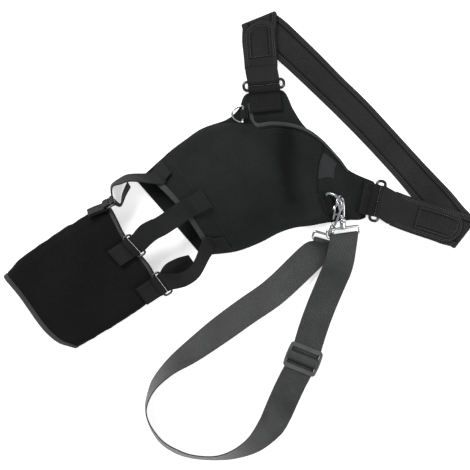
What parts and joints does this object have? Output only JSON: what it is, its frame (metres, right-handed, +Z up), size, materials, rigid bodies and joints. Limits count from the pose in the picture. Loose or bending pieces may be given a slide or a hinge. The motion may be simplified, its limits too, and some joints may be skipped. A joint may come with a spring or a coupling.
{
  "type": "shoulder brace",
  "caption": "Black neoprene shoulder brace lying flat: domed cap, arm cuff joined by webbing straps, folded chest belt on metal rings and a shoulder strap with snap hooks.",
  "frame": {"origin": "middle of the bounding box on the surface that the brace lies on", "axes": "+X from the arm cuff towards the chest belt, +Z up from the surface, the shoulder strap's loop towards -Y"},
  "size_m": [0.5602, 0.4844, 0.0503],
  "materials": {
    "neoprene": "matt knitted face on foam",
    "smooth_patch": "smooth close-woven patch",
    "tape": "soft grey-black edge tape",
    "belt": "brushed black belt with bound edges",
    "webbing": "ribbed black webbing",
    "arm_strap": "ribbed black webbing",
    "strap": "fine-ribbed webbing with a slight sheen",
    "hook_patch": "matt hook fastener face",
    "slider_plastic": "satin moulded plastic",
    "dark_metal": "glossy black lacquered wire",
    "nickel": "bright nickel plate"
  },
  "bodies": {
    "brace": {"cap_front_panel": "neoprene", "cap_back_panel": "neoprene", "cap_sleeve_hem": "tape", "cap_neck_binding": "tape", "wing_patch": "smooth_patch", "top_ring_tab": "webbing", "top_ring": "dark_metal", "wing_ring_tab": "webbing", "wing_ring": "dark_metal", "chest_belt": "belt", "belt_tab_top": "webbing", "belt_patch_top": "hook_patch", "belt_tab_wing": "webbing", "belt_patch_wing": "hook_patch", "arm_cuff": "neoprene", "cuff_lower_binding": "tape", "cuff_upper_binding": "tape", "cuff_tab_1": "webbing", "cuff_ring_1": "dark_metal", "cuff_tab_2": "webbing", "cuff_ring_2": "dark_metal", "cuff_tab_3": "webbing", "cuff_ring_3": "dark_metal", "arm_strap_1": "arm_strap", "arm_strap_2": "arm_strap", "arm_strap_3": "arm_strap", "d_ring_front_tab": "webbing", "d_ring_front": "nickel", "d_ring_top_tab": "webbing", "d_ring_top": "nickel", "hook_a_eye": "nickel", "hook_b_eye": "nickel", "strap_slider": "slider_plastic", "shoulder_strap": "strap"},
    "hook_a": {"hook_a_body": "nickel"},
    "hook_a_lever": {"hook_a_gate": "nickel"},
    "hook_b": {"hook_b_body": "nickel"},
    "hook_b_lever": {"hook_b_gate": "nickel"}
  },
  "joints": [
    {"name": "hook_a_swivel", "type": "hinge", "parent": "brace", "child": "hook_a", "pos_m": [0.12732, -0.05041, 0.01883], "axis": [0.4434, 0.8338, 0.3289], "range_deg": [-10, 10]},
    {"name": "hook_a_gate", "type": "hinge", "parent": "hook_a", "child": "hook_a_lever", "pos_m": [0.13102, -0.03916, 0.02606], "axis": [0.6457, -0.5516, 0.5281], "range_deg": [-12, 0], "stiffness_Nm_per_rad": 0.03},
    {"name": "hook_b_swivel", "type": "hinge", "parent": "brace", "child": "hook_b", "pos_m": [0.10995, -0.0509, 0.00909], "axis": [0.7272, 0.6211, 0.2924], "range_deg": [-10, 10]},
    {"name": "hook_b_gate", "type": "hinge", "parent": "hook_b", "child": "hook_b_lever", "pos_m": [0.11775, -0.04165, 0.01589], "axis": [0.4236, -0.7411, 0.5208], "range_deg": [-12, 0], "stiffness_Nm_per_rad": 0.03}
  ]
}
